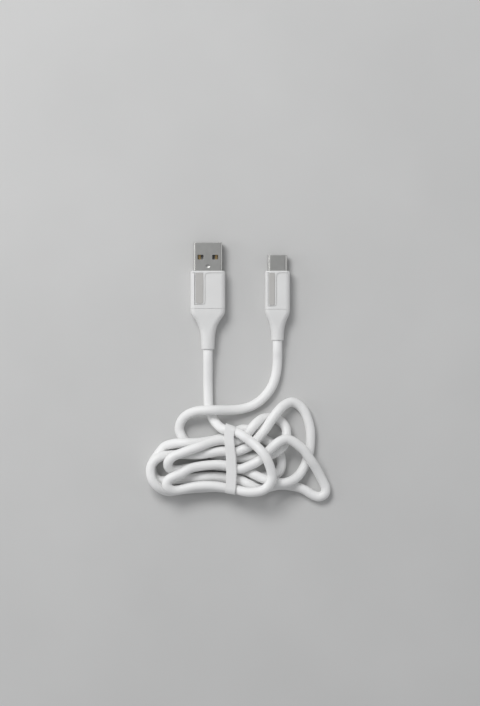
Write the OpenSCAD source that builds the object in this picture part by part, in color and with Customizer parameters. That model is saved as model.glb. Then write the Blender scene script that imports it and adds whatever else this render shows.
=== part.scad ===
// Charging cable with a USB-A plug and a USB-C plug, its slack gathered in a flat hank under a tie.
// It lies on z = 0 with both plugs pointing along +Y. Each plug is drawn in its own frame: the
// origin is the middle of its housing's front face, +Y runs out to the tip and +Z is the top side.

/* [Cable] */
// Distance between the centre lines of the two plugs
plug_spacing = 29.3; // [27:0.1:32]
// Diameter of the cord
cord_d = 4.0; // [3.6:0.05:4.1]
// Diameter of one insulated wire inside the cord
wire_d = 0.9; // [0.7:0.05:1.0]
// Distance between neighbouring wires where they leave the cord
wire_pitch = 1.3; // [1.1:0.05:1.5]
// Wall of the crimp ring on the cord's jacket
crimp_wall = 0.2; // [0.15:0.05:0.25]
// Length of the crimp ring
crimp_l = 2.5; // [1.5:0.1:2.6]

/* [Tie band] */
// Width of the tie band, along the gathered strands
band_w = 4.2; // [3:0.1:5]
// Thickness of the tie band
band_t = 0.4; // [0.25:0.05:0.5]
// Inner corner radius where the tie band turns
band_r = 2.0; // [1.2:0.1:2.4]
// Length of the lapped outer end on the top side
flap_l = 26; // [8:1:26]

/* [USB-A shell] */
// Outer width of the steel shell
a_shell_w = 12.0; // [11.9:0.05:12.1]
// Outer height of the steel shell
a_shell_h = 4.5; // [4.4:0.05:4.6]
// Thickness of the shell's sheet
a_shell_t = 0.3; // [0.2:0.05:0.35]
// Outer corner radius of the shell
a_shell_r = 0.8; // [0.6:0.1:1.1]
// Length of the shell outside the housing
a_shell_out = 11.9; // [11.5:0.1:12.5]
// Length of the shell inside the housing
a_shell_in = 6.0; // [5.8:0.1:6.6]
// Width of a catch window
a_window_w = 2.5; // [2.2:0.1:2.7]
// Length of a catch window
a_window_l = 2.0; // [1.8:0.1:2.3]
// Distance between the centres of two windows
a_window_pitch = 6.2; // [5.8:0.1:6.6]
// Distance from the tip to the near edge of the windows
a_window_in = 5.16; // [4.9:0.02:5.4]
// Distance from the tip to the dimple on the centre line
a_dimple_in = 9.9; // [9.4:0.1:10.4]
// Width of the dimple at the surface
a_dimple_d = 1.2; // [0.8:0.1:1.6]

/* [USB-A tongue and contacts] */
// Thickness of the insulating tongue
a_tongue_t = 1.85; // [1.7:0.05:1.95]
// Distance of the tongue's front edge behind the tip
a_tongue_set = 0.4; // [0.2:0.1:0.8]
// Half length of the full block that holds the tongue in the shell
a_block_half = 3.0; // [2:0.1:3.4]
// Length of the solder shelf behind the block
a_shelf_l = 2.6; // [2.2:0.1:2.8]
// Width of a contact strip
a_contact_w = 1.0; // [0.8:0.05:1.2]
// Thickness of a contact strip
a_contact_t = 0.25; // [0.15:0.05:0.3]
// How far a contact stands above the tongue
a_contact_proud = 0.05; // [0.02:0.01:0.1]
// Offset of the two outer contacts from the centre line
a_outer_x = 3.5; // [3.3:0.1:3.7]
// Offset of the two inner contacts from the centre line
a_inner_x = 1.0; // [0.9:0.05:1.2]
// Distance of the outer contacts' front ends behind the tip
a_outer_set = 1.5; // [1.2:0.1:2]
// Distance of the inner contacts' front ends behind the tip
a_inner_set = 2.5; // [2.1:0.1:3]

/* [USB-A housing] */
// Width of the housing
a_housing_w = 14.6; // [14.4:0.1:16]
// Height of the housing
a_housing_h = 7.0; // [6.9:0.1:8]
// Length of the housing
a_housing_l = 15.9; // [15.8:0.1:18]
// Corner radius of the housing
a_housing_r = 2.0; // [1.5:0.1:2.6]
// Side wall of the housing round the strain relief's spigot
a_side_wall = 1.0; // [0.7:0.05:1.05]
// Top and bottom wall of the housing round the strain relief's spigot
a_top_wall = 0.8; // [0.7:0.05:0.85]
// Thickness of the inner mould beside the shell
a_mould_side = 0.25; // [0.15:0.05:0.4]
// Thickness of the inner mould above and below the shell
a_mould_top = 0.4; // [0.3:0.05:0.45]
// Thickness of the housing's front wall
a_front_wall = 1.4; // [1:0.1:1.8]
// Length of the strain relief behind the housing
a_relief_l = 17.2; // [14:0.1:20]
// Diameter of the strain relief where the cord leaves it
a_relief_d = 5.6; // [5:0.1:6]

/* [USB-A face] */
// Length of the sunk strip across the housing's front edge
a_strip_l = 1.05; // [0.6:0.05:1.5]
// Left edge of the sunk field, from the centre line
a_field_left = 5.9; // [5.6:0.1:6.2]
// Right edge of the sunk field, from the centre line
a_field_right = 1.0; // [0.6:0.1:1.4]
// Length of the sunk field
a_field_l = 14.3; // [14:0.1:15]
// Width of the inlay strip
a_inlay_w = 3.45; // [3:0.05:3.6]
// Length of the inlay strip
a_inlay_l = 12.95; // [12:0.05:13.2]
// Left edge of the inlay strip, from the centre line
a_inlay_left = 5.35; // [5.2:0.05:5.4]
// Distance of the inlay strip behind the front face
a_inlay_set = 0.9; // [0.7:0.05:1]

/* [USB-C shell] */
// Outer width of the steel shell
c_shell_w = 8.25; // [8.2:0.05:8.3]
// Outer height of the steel shell
c_shell_h = 2.4; // [2.35:0.05:2.45]
// Thickness of the shell's sheet
c_shell_t = 0.2; // [0.15:0.05:0.2]
// Length of the shell outside the housing
c_shell_out = 6.65; // [6.6:0.05:6.7]
// Length of the shell inside the housing
c_shell_in = 4.0; // [3.8:0.1:4.1]

/* [USB-C carrier and contacts] */
// Distance of the carrier's front edge behind the tip
c_carrier_set = 0.3; // [0.2:0.05:0.4]
// Length of the carrier behind the housing's front face
c_carrier_in = 3.6; // [3.5:0.1:3.8]
// Width of the mouth that takes the socket's tongue
c_mouth_w = 6.5; // [6.3:0.05:6.6]
// Height of the mouth
c_mouth_h = 0.84; // [0.8:0.02:0.9]
// Depth of the mouth from the carrier's front edge
c_mouth_l = 5.15; // [4.9:0.05:5.3]
// Distance between neighbouring contact positions
c_pitch = 0.5; // [0.48:0.01:0.5]
// Width of a contact
c_contact_w = 0.22; // [0.18:0.01:0.24]
// Thickness of a contact
c_contact_t = 0.15; // [0.1:0.01:0.16]
// Length of the flexing arm of a side latch
c_latch_l = 7.4; // [7:0.1:7.6]
// Thickness of a side latch
c_latch_t = 0.2; // [0.15:0.05:0.25]
// Width of a side latch, across its sheet
c_latch_w = 0.64; // [0.5:0.02:0.7]
// How far a latch's hook stands into the mouth
c_hook = 0.25; // [0.15:0.05:0.4]
// Width of a shield spring
c_spring_w = 5.2; // [4.4:0.1:5.6]
// Length of a shield spring
c_spring_l = 1.25; // [1:0.05:1.3]
// Thickness of a shield spring
c_spring_t = 0.12; // [0.08:0.01:0.13]

/* [USB-C circuit board] */
// Width of the circuit board
c_board_w = 7.2; // [6.6:0.1:7.3]
// Thickness of the circuit board
c_board_t = 0.6; // [0.5:0.05:0.6]
// Length of the circuit board
c_board_l = 5.3; // [5:0.1:5.5]
// Distance of the board's front edge behind the housing's front face
c_board_set = 4.2; // [4.15:0.05:4.3]
// Length of the resistor
c_resistor_l = 1.0; // [0.6:0.1:1.2]
// Width of the resistor
c_resistor_w = 0.5; // [0.3:0.05:0.8]
// Height of the resistor
c_resistor_h = 0.35; // [0.25:0.05:0.45]

/* [USB-C housing] */
// Width of the housing
c_housing_w = 10.5; // [10.4:0.1:12]
// Height of the housing
c_housing_h = 6.5; // [6.4:0.1:7]
// Length of the housing
c_housing_l = 16.2; // [16.1:0.1:18]
// Corner radius of the housing
c_housing_r = 2.0; // [1.5:0.1:2.4]
// Side wall of the housing round the strain relief's spigot
c_side_wall = 0.8; // [0.7:0.05:0.85]
// Top and bottom wall of the housing round the strain relief's spigot
c_top_wall = 0.75; // [0.65:0.05:0.8]
// Thickness of the inner mould beside the shell
c_mould_side = 0.275; // [0.2:0.025:0.35]
// Thickness of the inner mould above and below the crimp ring
c_mould_top = 0.15; // [0.1:0.05:0.2]
// Thickness of the housing's front wall
c_front_wall = 1.4; // [1:0.1:1.8]
// Length of the strain relief behind the housing
c_relief_l = 13.1; // [11:0.1:16]
// Diameter of the strain relief where the cord leaves it
c_relief_d = 5.3; // [4.8:0.1:5.6]

/* [USB-C face] */
// Length of the sunk strip across the housing's front edge
c_strip_l = 1.0; // [0.6:0.05:1.5]
// Left edge of the sunk field, from the centre line
c_field_left = 4.2; // [4:0.05:4.5]
// Right edge of the sunk field, towards the centre line
c_field_right = 0.2; // [0:0.05:0.6]
// Length of the sunk field
c_field_l = 15.0; // [14.7:0.1:15.4]
// Width of the inlay strip
c_inlay_w = 2.75; // [2.4:0.05:2.9]
// Length of the inlay strip
c_inlay_l = 13.6; // [12.6:0.1:13.8]
// Left edge of the inlay strip, from the centre line
c_inlay_left = 3.8; // [3.7:0.05:3.85]
// Distance of the inlay strip behind the front face
c_inlay_set = 0.95; // [0.7:0.05:1]

/* [Both housings] */
// Depth of the sunk face
field_depth = 0.2; // [0.1:0.05:0.25]
// Depth of the inlay pocket below the sunk face
pocket_depth = 0.22; // [0.1:0.02:0.26]
// Thickness of the inlay strip
inlay_t = 0.3; // [0.2:0.02:0.4]
// Corner radius of the sunk field and of the raised panel beside it
field_r = 1.3; // [0.8:0.1:1.6]
// Height of the small step round each housing's front edge
lip_h = 0.3; // [0.15:0.05:0.4]
// Length of the small step round each housing's front edge
lip_l = 0.4; // [0.2:0.05:0.6]
// Length of the strain relief's spigot inside the housing
spigot_l = 1.5; // [1:0.1:1.6]

/* [Hidden] */
$fn = 48;
// Gap on each side between pieces that are moulded or pressed into one another
fit = 0.05;
// Gap along the plug between a piece and the next one behind it
end_gap = 0.1;
// Gap between a solder tail and what it is soldered to
solder_gap = 0.02;
// Extra length of a cut beyond the face that it opens
cut = 1;

// The plugs' place: the box round both is centred on x = 0 and y = 0
plugs_w = a_housing_w / 2 + plug_spacing + c_housing_w / 2;
a_x = -plugs_w / 2 + a_housing_w / 2;
c_x = a_x + plug_spacing;
face_y = (a_housing_l + a_relief_l - a_shell_out) / 2;
a_z = a_housing_h / 2;
c_z = c_housing_h / 2;
a_end = a_housing_l + a_relief_l;
c_end = c_housing_l + c_relief_l;

// A crimp ring sits on the cord's jacket inside each inner mould, close before the mould's end
crimp_d = cord_d + 2 * fit + 2 * crimp_wall;
crimp_set = 0.1;
mould_back = 0.25;
jacket_in = crimp_set + crimp_l + end_gap + mould_back;

// Sections inside the housings: the cavity round the mould and the socket for the spigot
a_mould_h = max(a_shell_h, crimp_d) + 2 * a_mould_top;
c_mould_h = max(c_shell_h, crimp_d) + 2 * c_mould_top;
a_cavity = [a_shell_w + 2 * a_mould_side + 2 * fit, a_mould_h + 2 * fit];
c_cavity = [c_shell_w + 2 * c_mould_side + 2 * fit, c_mould_h + 2 * fit];
a_socket = [a_housing_w - 2 * a_side_wall, a_housing_h - 2 * a_top_wall];
c_socket = [c_housing_w - 2 * c_side_wall, c_housing_h - 2 * c_top_wall];
cavity_r = 0.9;
a_mould_end = a_housing_l - spigot_l - end_gap;
c_mould_end = c_housing_l - spigot_l - end_gap;
a_jacket = a_mould_end - jacket_in;
c_jacket = c_mould_end - jacket_in;
chamber_r = 0.3;

// Wires: their start on the tail or pad, the bend behind it and the straight end at the jacket
a_wire_start = 0.5;
a_wire_end = 0.3;
c_wire_start = 1.9;
c_wire_bend = 1.1;
c_wire_end = 0.15;

// USB-A tongue
a_inner_w = a_shell_w - 2 * a_shell_t;
a_inner_h = a_shell_h - 2 * a_shell_t;
a_tongue_w = a_inner_w - 2 * fit;
a_tongue_bottom = -a_inner_h / 2 + fit;
a_tongue_top = a_tongue_bottom + a_tongue_t;
a_contact_top = a_tongue_top + a_contact_proud;
a_contact_bottom = a_contact_top - a_contact_t;
a_shelf_back = -a_block_half - a_shelf_l;
a_shelf_rim = 0.2;
a_tail_y = a_shelf_back + a_shelf_rim;
a_chamber_inset = 0.2;
a_bend_y = -a_shell_in - fit;

// USB-C carrier
c_inner_w = c_shell_w - 2 * c_shell_t;
c_inner_h = c_shell_h - 2 * c_shell_t;
c_carrier_w = c_inner_w - 2 * fit;
c_carrier_h = c_inner_h - 2 * fit;
c_carrier_front = c_shell_out - c_carrier_set;
c_slot_w = c_contact_w + 2 * fit;
c_latch_x = c_mouth_w / 2 + 2 * fit;
c_latch_set = 1.35;
c_latch_front = c_carrier_front - c_latch_set;
c_latch_slot_end = 0.4;
c_latch_slot_back = c_latch_front - c_latch_l - c_latch_slot_end;
c_hook_front = 0.4;
c_hook_flat = 0.3;
c_hook_ramp = 0.6;
c_spring_z = c_carrier_h / 2 - fit - c_spring_t;
c_spring_set = 1.6;
c_spring_back = c_carrier_front - c_spring_set;
c_board_top = c_board_t / 2;
c_chamber_h = 3.2;
c_resistor_set = 2.6;

// USB-C contacts: the tail on the board, the rise to the arm, and the dip to the touching point
c_tail_z = c_board_top + solder_gap;
c_tail_l = 1.4;
c_tail_end = -c_board_set - c_tail_l;
c_rise_set = 0.4;
c_rise_l = 0.5;
c_rise_back = -c_carrier_in + c_rise_set;
c_arm_rise = 0.3;
c_arm_z = c_tail_z + c_arm_rise;
c_touch_set = 2.75;
c_touch_l = 0.3;
c_touch_front = c_carrier_front - c_touch_set;
c_touch_back = c_touch_front - c_touch_l;
c_touch_proud = 0.12;
c_touch_z = c_mouth_h / 2 - c_touch_proud;
c_dip_l = 1.3;
c_lip_l = 0.7;
c_lip_rise = 0.2;
c_slot_front = c_touch_front + c_lip_l + 2 * fit;
c_red_x = -1.7;
c_green_x = -1.0;

// Numbers of the contact positions that are fitted, counted from the left
c_upper_numbers = [1, 4, 5, 6, 7, 9, 12];
c_lower_numbers = [1, 4, 5, 9, 12];

// Profiles of the strain reliefs: share of the length, share of the housing's section, inset
a_relief_shape = [
    [0, 1, 0], [0.06, 0.98, 0], [0.15, 0.88, 0], [0.28, 0.55, 0], [0.40, 0.31, 0],
    [0.52, 0.15, 0], [0.65, 0.06, 0], [0.80, 0.02, 0], [0.98, 0, 0], [1, 0, 0.15]];
c_relief_shape = [
    [0, 1, 0], [0.07, 0.97, 0], [0.18, 0.83, 0], [0.34, 0.5, 0], [0.46, 0.3, 0],
    [0.60, 0.13, 0], [0.79, 0.02, 0], [0.97, 0, 0], [1, 0, 0.15]];
corner_steps = 6;

// Length of the cord that runs on straight behind each strain relief
straight_l = 4;

// Route of the cord, [x, y, z] of its centre line. Each strand crosses the tie band in one of two
// layers. The lead of the USB-A plug comes first and goes under the band in the upper layer.
a_lead = [
    [a_x, face_y - a_end, a_z], [a_x, face_y - a_end - straight_l, a_z], [-13.6, -32, 2.7],
    [-13.6, -37, 2.1], [-13.5, -41, 2.1], [-13.4, -45, 2.1], [-12.9, -48.5, 2.1],
    [-11.6, -51.6, 2.5], [-9.6, -54.2, 4.2]];
// Top loop on the right, over everything else there
loop_1 = [
    [-7.2, -56.0, 6.4], [-4.6, -56.5, 7.1], [-2.0, -57.2, 7.5], [0, -58.0, 9.6],
    [1.6, -59.1, 11.0], [4.1, -60.9, 11.6], [6.7, -63.0, 12.5], [9.2, -65.6, 13.5],
    [11.1, -68.4, 13.7], [12.5, -71.8, 12.8], [13.3, -75.0, 11.9], [13.0, -77.7, 11.5],
    [11.5, -80.2, 11.0], [8.8, -81.9, 10.8], [5.0, -82.5, 10.6], [1.6, -82.2, 9.9],
    [-1.3, -81.5, 7.5], [-4.4, -80.9, 7.1]];
// Top loop on the left
loop_2 = [
    [-7.2, -80.4, 7.1], [-11, -79.9, 7.1], [-15.2, -79.8, 7.1], [-19.4, -80.2, 7.1],
    [-23.6, -81.1, 7.1], [-26.4, -81.7, 7.4], [-28.5, -81.7, 8.2], [-30.3, -80.6, 9.1],
    [-30.9, -78.9, 9.5], [-30.0, -77.1, 9.7], [-27.8, -75.9, 9.8], [-24.9, -74.7, 9.4],
    [-21.1, -72.6, 8.6], [-16.9, -71.6, 7.6], [-12.7, -71.1, 7.2], [-8.9, -70.9, 7.1],
    [-4.7, -71.5, 7.2]];
// Longest loop on the right, out to the lower right tip
loop_3 = [
    [-1.8, -72.5, 7.3], [0.3, -72.7, 7.8], [2.9, -71.8, 8.2], [5.8, -70.5, 8.1],
    [8.3, -68.9, 8.3], [10.4, -66.8, 9.0], [12.5, -64.6, 10.1], [14.7, -62.5, 10.5],
    [16.8, -61.0, 10.2], [19.3, -60.2, 9.5], [21.8, -61.0, 9.0], [24.3, -62.7, 8.5],
    [26.7, -64.8, 7.9], [28.5, -67.4, 7.1], [30.2, -69.9, 6.1], [31.9, -72.6, 4.6],
    [33.6, -75.8, 3.2], [35.1, -78.7, 2.4], [36.0, -81.0, 2.1], [35.6, -83.3, 2.1],
    [33.4, -84.6, 2.1], [30.5, -83.8, 2.1], [27.8, -82.1, 2.1], [25.2, -80.9, 2.1],
    [22.2, -80.2, 2.1], [18.9, -79.7, 2.1], [15.5, -79.8, 2.1], [12.1, -80.6, 2.3],
    [9.2, -81.2, 3.6], [6.2, -80.6, 6.1], [3.3, -79.1, 6.7], [0.8, -77.8, 5.4],
    [-1.8, -77.1, 3.7], [-4.3, -76.7, 2.6]];
// Widest loop on the left, in the lower layer
loop_4 = [
    [-7.2, -76.3, 2.6], [-11, -76.1, 3.4], [-15.2, -76.2, 4.1], [-19.4, -76.6, 3.8],
    [-23.7, -77.1, 2.8], [-27.5, -77.2, 2.3], [-30.4, -77.6, 2.1], [-32.9, -77.9, 2.1],
    [-35.2, -77.1, 2.1], [-36.8, -75.2, 2.1], [-37.4, -72.8, 2.1], [-36.8, -70.1, 2.1],
    [-35.2, -67.6, 2.1], [-33.6, -65.4, 2.1], [-31.7, -63.4, 2.3], [-28.7, -62.3, 4.2],
    [-25.8, -61.9, 6.2], [-22.8, -61.8, 6.8], [-19.9, -61.8, 6.4], [-16.9, -61.6, 5.5],
    [-14, -61.2, 4.3], [-10.6, -60.6, 3.2], [-7.5, -59.8, 2.7], [-4.3, -58.7, 2.5]];
// Small loop on the right, under the others
loop_5 = [
    [-1.8, -57.2, 2.4], [1.2, -56.1, 2.1], [4.1, -56.6, 2.1], [7.1, -58.0, 2.1],
    [10, -60.2, 2.1], [13, -62.1, 2.1], [15.3, -64.4, 2.1], [16.8, -66.9, 2.1],
    [17.4, -69.8, 2.1], [17.1, -72.5, 2.1], [15.9, -74.6, 2.1], [13.8, -75.5, 2.1],
    [11.1, -75.8, 2.1], [8.3, -76.3, 2.1], [6.0, -77.5, 2.1], [3.7, -79.4, 2.1],
    [1.4, -81.1, 2.2], [-1.3, -81.4, 2.4], [-4.3, -81.2, 2.5]];
// Second loop on the left, rising over the widest one
loop_6 = [
    [-7.2, -80.8, 2.4], [-11, -80.6, 2.1], [-15.2, -80.8, 2.1], [-19.4, -81.1, 2.1],
    [-23.7, -81.5, 2.1], [-27, -82.0, 2.4], [-30, -82.3, 3.4], [-32.7, -81.5, 4.9],
    [-35.0, -80.0, 6.2], [-36.8, -77.7, 6.7], [-37.7, -74.8, 6.7], [-37.6, -72, 6.7],
    [-36.5, -69.8, 6.7], [-34.6, -68.2, 6.6], [-32.5, -67.4, 6.1], [-30.4, -67.1, 5.2],
    [-27.5, -66.9, 4.2], [-24.1, -66.7, 4.5], [-20.7, -66.8, 5.8], [-16.9, -66.7, 6.8],
    [-13.6, -66.2, 7.1], [-10.2, -65.6, 7.1], [-7.2, -65.3, 7.1], [-4.3, -65.6, 7.1]];
// Tall loop on the right, out to the upper right
loop_7 = [
    [-1.8, -65.6, 7.2], [1.2, -64.5, 7.5], [3.6, -63.4, 6.9], [5.5, -62.0, 6.5],
    [8.2, -59.0, 6.6], [10.8, -55.7, 6.8], [13.3, -51.9, 6.9], [15.9, -48.4, 6.2],
    [18.4, -46.0, 4.6], [21.4, -44.7, 3.1], [24.3, -45.7, 2.3], [26.9, -48.4, 2.1],
    [28.5, -52.2, 2.1], [29.5, -56.4, 2.1], [29.6, -60.6, 2.1], [29.2, -64.8, 2.1],
    [28.3, -68.2, 2.1], [27.1, -71.6, 2.4], [25.4, -74.5, 3.6], [23.1, -76.8, 5.2],
    [20.1, -78.3, 6.6], [16.8, -78.7, 6.8], [13, -77.9, 6.8], [9.2, -76.7, 6.8],
    [5.9, -75.2, 6.2], [2.9, -74.0, 3.9], [0.3, -73.2, 2.9], [-2.2, -72.5, 2.6],
    [-4.7, -72.1, 2.5]];
// Third loop on the left, over the strands above it
loop_8 = [
    [-7.7, -71.7, 2.5], [-11.5, -71.5, 2.5], [-15.2, -71.5, 2.6], [-19, -71.9, 3.1],
    [-22.8, -72.6, 4.1], [-25.8, -73.2, 4.9], [-28.2, -73.2, 5.7], [-30.0, -72.2, 7.0],
    [-30.4, -70.5, 8.7], [-29.6, -68.8, 9.6], [-27.8, -67.3, 9.6], [-24.5, -66.0, 9.9],
    [-21.1, -64.7, 10.4], [-17.3, -63.4, 10.2], [-14, -62.1, 9.1], [-10.6, -61.1, 7.9],
    [-7.7, -60.7, 7.2], [-4.7, -61.1, 6.8]];
// Middle loop on the right
loop_9 = [
    [-2.4, -61.4, 5.7], [-0.3, -60.8, 5.0], [1.6, -59.5, 5.3], [3.4, -57.5, 6.4],
    [5.0, -55.4, 6.7], [7.1, -53.2, 5.7], [9.6, -51.6, 3.7], [12.5, -51.3, 2.3],
    [15.5, -51.9, 2.1], [17.7, -53.4, 2.1], [19.2, -55.6, 2.6], [19.5, -58.3, 3.7],
    [19.1, -61.1, 4.8], [17.6, -63.6, 6.2], [15.5, -65.5, 6.8], [13, -66.8, 5.3],
    [10.2, -67.5, 4.2], [7.1, -67.9, 3.8], [3.7, -68.1, 4.0], [0.3, -68.2, 3.6],
    [-2.2, -67.9, 2.9], [-4.7, -67.4, 2.5]];
// The lead of the USB-C plug turns back on the left and comes over the other lead
c_lead = [
    [-7.7, -67.0, 2.5], [-11, -66.7, 2.1], [-14.4, -65.9, 2.1], [-17.8, -64.8, 2.1],
    [-20.7, -63.4, 2.1], [-23, -61.5, 2.1], [-24.6, -59.2, 2.1], [-25.6, -56.4, 2.2],
    [-25.3, -53.7, 2.9], [-23.9, -51.4, 3.9], [-21.6, -49.6, 5.2], [-18.2, -48.4, 6.3],
    [-14.8, -48.1, 6.8], [-11.5, -48, 6.8], [-7.7, -48, 5.8], [-3.9, -48, 4.2],
    [-0.1, -47.7, 2.9], [3.3, -46.9, 2.2], [6.4, -45.5, 2.1], [9.2, -43.4, 2.1],
    [11.7, -40.6, 2.1], [13.6, -37.5, 2.1], [14.9, -33.7, 2.1], [15.5, -29.9, 2.1],
    [15.7, -26.5, 2.4], [c_x, face_y - c_end - straight_l, c_z], [c_x, face_y - c_end, c_z]];
bundle = concat(loop_1, loop_2, loop_3, loop_4, loop_5, loop_6, loop_7, loop_8, loop_9);
route = concat(a_lead, bundle, c_lead);
bundle_first = len(a_lead) - 1;
bundle_last = len(a_lead) + len(bundle);
lead_sides = 8;
bundle_sides = 6;
wire_sides = 12;

// Tie band: the space inside it holds both layers of strands
band_x = -4.4;
band_y_near = -53.9;
band_y_far = -83.3;
band_inner_h = 9.4;

// ---- Shared shapes ----

module in_a() { translate([a_x, face_y, a_z]) children(); }
module in_c() { translate([c_x, face_y, c_z]) children(); }

module rounded_rect(size, r) {
    square([size.x - 2 * r, size.y], center = true);
    square([size.x, size.y - 2 * r], center = true);
    for (sx = [-1, 1], sy = [-1, 1])
        translate([sx * (size.x / 2 - r), sy * (size.y / 2 - r)]) circle(r);
}

module stadium(size) {
    square([size.x - size.y, size.y], center = true);
    for (s = [-1, 1])
        translate([s * (size.x - size.y) / 2, 0]) circle(size.y / 2);
}

// A prism of a section in X and Z that runs from y = front back to y = back
module run(front, back) {
    translate([0, front, 0]) rotate([90, 0, 0]) linear_extrude(front - back) children();
}

// A prism of a side profile in Y and Z, centred on x
module side_profile(x, w, points) {
    translate([x - w / 2, 0, 0]) rotate([90, 0, 90]) linear_extrude(w) polygon(points);
}

// A box given by its limits along each axis
module span(x, y, z) {
    translate([x[0], y[0], z[0]]) cube([x[1] - x[0], y[1] - y[0], z[1] - z[0]]);
}

// Closed surface through rings of points that follow one another along +Y or along a route
module skin(rings) {
    n = len(rings[0]);
    last = (len(rings) - 1) * n;
    points = [for (ring = rings) each ring];
    sides = [for (i = [0:len(rings) - 2], k = [0:n - 1])
        let (a = i * n + k, b = i * n + (k + 1) % n)
        each [[a, b, b + n], [a, b + n, a + n]]];
    caps = [for (k = [1:n - 2]) each [[0, k + 1, k], [last, last + k, last + k + 1]]];
    polyhedron(points, concat(sides, caps));
}

function unit(v) = v / norm(v);
function ring_at(p, along, d, sides) =
    let (u = unit(cross(along, [0, 0, 1])), v = cross(u, along))
    [for (k = [0:sides - 1]) let (turn = 90 + (k + 0.5) * 360 / sides)
        p + d / 2 * (cos(turn) * u + sin(turn) * v)];
function along_at(points, i) =
    unit(points[min(i + 1, len(points) - 1)] - points[max(i - 1, 0)]);

// A round tube along a list of points, from point first to point last
module tube(points, d, sides, first = 0, last = -1) {
    end = last < 0 ? len(points) - 1 : last;
    skin([for (i = [first:end]) ring_at(points[i], along_at(points, i), d, sides)]);
}

// ---- Shared pieces of a plug ----

// The sunk part of a housing's top face: a strip across the front and a field down the left
module sunk_outline(left, right, length, strip, w) {
    translate([-left, -length]) square([left - right - field_r, length]);
    translate([-left, -length + field_r]) square([left - right, length - field_r]);
    translate([-right - field_r, -length + field_r]) circle(field_r);
    translate([-w / 2 - cut, -strip]) square([w + 2 * cut, strip + cut]);
    difference() {
        translate([-right, -strip - field_r]) square(field_r);
        translate([-right + field_r, -strip - field_r]) circle(field_r);
    }
}

// Outline of an inlay strip with rounded far corners, grown by gap
module inlay_outline(left, set, size, gap) {
    r = size.x / 4 + gap;
    translate([left - gap, -set - size.y + r - gap]) square([size.x + 2 * gap, size.y - r + 2 * gap]);
    translate([left - gap + r, -set - size.y - gap]) square([size.x + 2 * gap - 2 * r, r]);
    for (x = [left - gap + r, left + size.x + gap - r])
        translate([x, -set - size.y - gap + r]) circle(r);
}

// The housing without its face, with a hole for the shell whose section is the child
module housing_body(size, length, r, cavity, socket, front_wall) {
    inner = size - 2 * [lip_h, lip_h];
    socket_front = -length + spigot_l + end_gap;
    difference() {
        union() {
            run(-lip_l, -length) rounded_rect(size, r);
            run(0, -lip_l) rounded_rect(inner, r - lip_h);
        }
        run(cut, -front_wall - cut) children();
        run(-front_wall, socket_front) rounded_rect(cavity, cavity_r);
        run(socket_front, -length - cut) rounded_rect(socket, cavity_r);
    }
}

// The mould over the joints, with a pocket for the shell, a chamber, and bores for ring and cord
module inner_mould(section, front_wall, end, shell_in, jacket) {
    back = -shell_in - fit;
    difference() {
        run(-front_wall - end_gap, -end) rounded_rect(section, cavity_r - fit);
        run(cut, back) children(0);
        run(back + fit, -jacket) children(1);
        run(-jacket + fit, -jacket - crimp_set - crimp_l - end_gap) circle(d = crimp_d + 2 * fit);
        run(-jacket, -end - cut) circle(d = cord_d + 2 * fit);
    }
}

function relief_ring(size, r, y) =
    let (q = min(r, 0.49 * min(size)))
    [for (c = [0:3], s = [0:corner_steps])
        let (turn = 90 * c + 90 * s / corner_steps,
            x = (c == 0 || c == 3 ? 1 : -1) * (size.x / 2 - q),
            z = (c < 2 ? 1 : -1) * (size.y / 2 - q))
        [x + q * cos(turn), y, z + q * sin(turn)]];

module strain_relief(size, r, start, length, end_d, section, shape) {
    steps = len(shape) - 1;
    difference() {
        union() {
            skin([for (i = [steps:-1:0])
                let (k = shape[i][1], inset = shape[i][2])
                relief_ring([for (s = size) end_d + (s - end_d) * k - 2 * inset],
                    r * k + end_d / 2 * (1 - k), -start - length * shape[i][0])]);
            run(-start + spigot_l, -start) rounded_rect(section, cavity_r - fit);
        }
        run(-start + spigot_l + cut, -start - length - cut) circle(d = cord_d + 2 * fit);
    }
}

module crimp_ring(jacket) {
    run(-jacket - crimp_set, -jacket - crimp_set - crimp_l) difference() {
        circle(d = crimp_d);
        circle(d = cord_d + 2 * fit);
    }
}

// ---- USB-A plug ----

module usb_a_shell() {
    outer = [a_shell_w, a_shell_h];
    window_y = a_shell_out - a_window_in - a_window_l / 2;
    dimple_r = a_dimple_d;
    color("silver") in_a() difference() {
        run(a_shell_out, -a_shell_in) difference() {
            rounded_rect(outer, a_shell_r);
            rounded_rect(outer - 2 * [a_shell_t, a_shell_t], a_shell_r - a_shell_t);
        }
        for (s = [-1, 1])
            translate([s * a_window_pitch / 2, window_y, 0])
                cube([a_window_w, a_window_l, a_shell_h + cut], center = true);
        translate([0, a_shell_out - a_dimple_in, a_shell_h / 2 + dimple_r * cos(30)])
            sphere(dimple_r);
    }
}

module usb_a_tongue() {
    front = a_shell_out - a_tongue_set;
    half = a_tongue_w / 2;
    block_z = a_inner_h / 2 - fit;
    color("gray") in_a() difference() {
        intersection() {
            run(front, a_shelf_back)
                rounded_rect([a_tongue_w, a_inner_h - 2 * fit], a_shell_r - a_shell_t - fit);
            union() {
                span([-half, half], [a_shelf_back, front], [a_tongue_bottom, a_tongue_top]);
                span([-half, half], [-a_block_half, a_block_half], [a_tongue_bottom, block_z]);
            }
        }
        for (s = [-1, 1]) {
            a_channel(s * a_outer_x, a_outer_set);
            a_channel(s * a_inner_x, a_inner_set);
        }
    }
}

// The channel that one contact lies in
module a_channel(x, set) {
    half = a_contact_w / 2 + fit;
    front = a_shell_out - set + fit;
    span([x - half, x + half], [a_tail_y - cut, front], [a_contact_bottom, a_contact_top + fit]);
}

module a_contact(x, set) {
    front = a_shell_out - set;
    bevel = a_contact_t / 2;
    color("gold") in_a() side_profile(x, a_contact_w, [
        [a_tail_y, a_contact_bottom], [front, a_contact_bottom], [front, a_contact_top - bevel],
        [front - bevel, a_contact_top], [a_tail_y, a_contact_top]]);
}

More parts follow.
